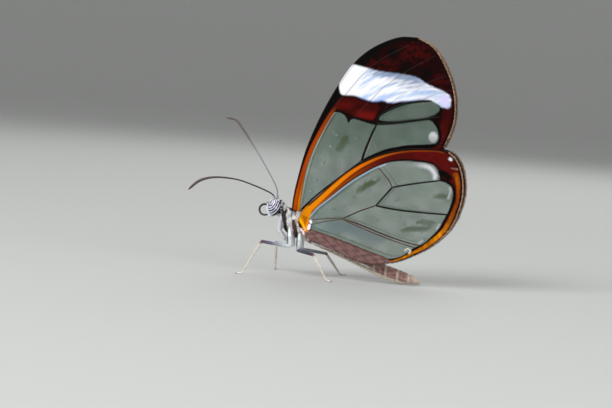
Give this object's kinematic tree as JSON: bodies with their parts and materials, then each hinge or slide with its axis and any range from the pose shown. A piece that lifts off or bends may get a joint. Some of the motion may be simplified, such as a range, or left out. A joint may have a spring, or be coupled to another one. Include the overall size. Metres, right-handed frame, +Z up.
{
  "type": "glasswing butterfly",
  "caption": "Life-size still model of a glasswing butterfly at rest with its clear, dark-veined wings closed over its back.",
  "frame": {"origin": "on the floor, under the middle of the box round the whole insect", "axes": "+X towards the tail with the head at -X, +Y towards the insect's right side, +Z up"},
  "size_m": [0.0368, 0.0126, 0.0329],
  "materials": {
    "wing_membrane": "thin clear membrane with a faint grey-green tint, dark veins and a scaled border",
    "body_fur": "short dark brown fur with white stripes",
    "abdomen_scales": "matt mauve-brown scales with paler rings",
    "pale_scales": "cream and white scales over dark horn",
    "horn": "dark smooth horn",
    "eye": "glossy, white with dark stripes"
  },
  "bodies": {
    "root": {"thorax": "body_fur", "abdomen": "abdomen_scales", "head": "body_fur", "eye_left": "eye", "eye_right": "eye", "proboscis": "horn", "palp_left": "pale_scales", "palp_right": "pale_scales", "antenna_left": "horn", "antenna_right": "horn", "leg_fore_left": "pale_scales", "leg_fore_right": "pale_scales", "leg_mid_left": "pale_scales", "leg_mid_right": "pale_scales", "leg_hind_left": "pale_scales", "leg_hind_right": "pale_scales", "forewing_left": "wing_membrane", "forewing_right": "wing_membrane", "hindwing_left": "wing_membrane", "hindwing_right": "wing_membrane"}
  },
  "joints": []
}
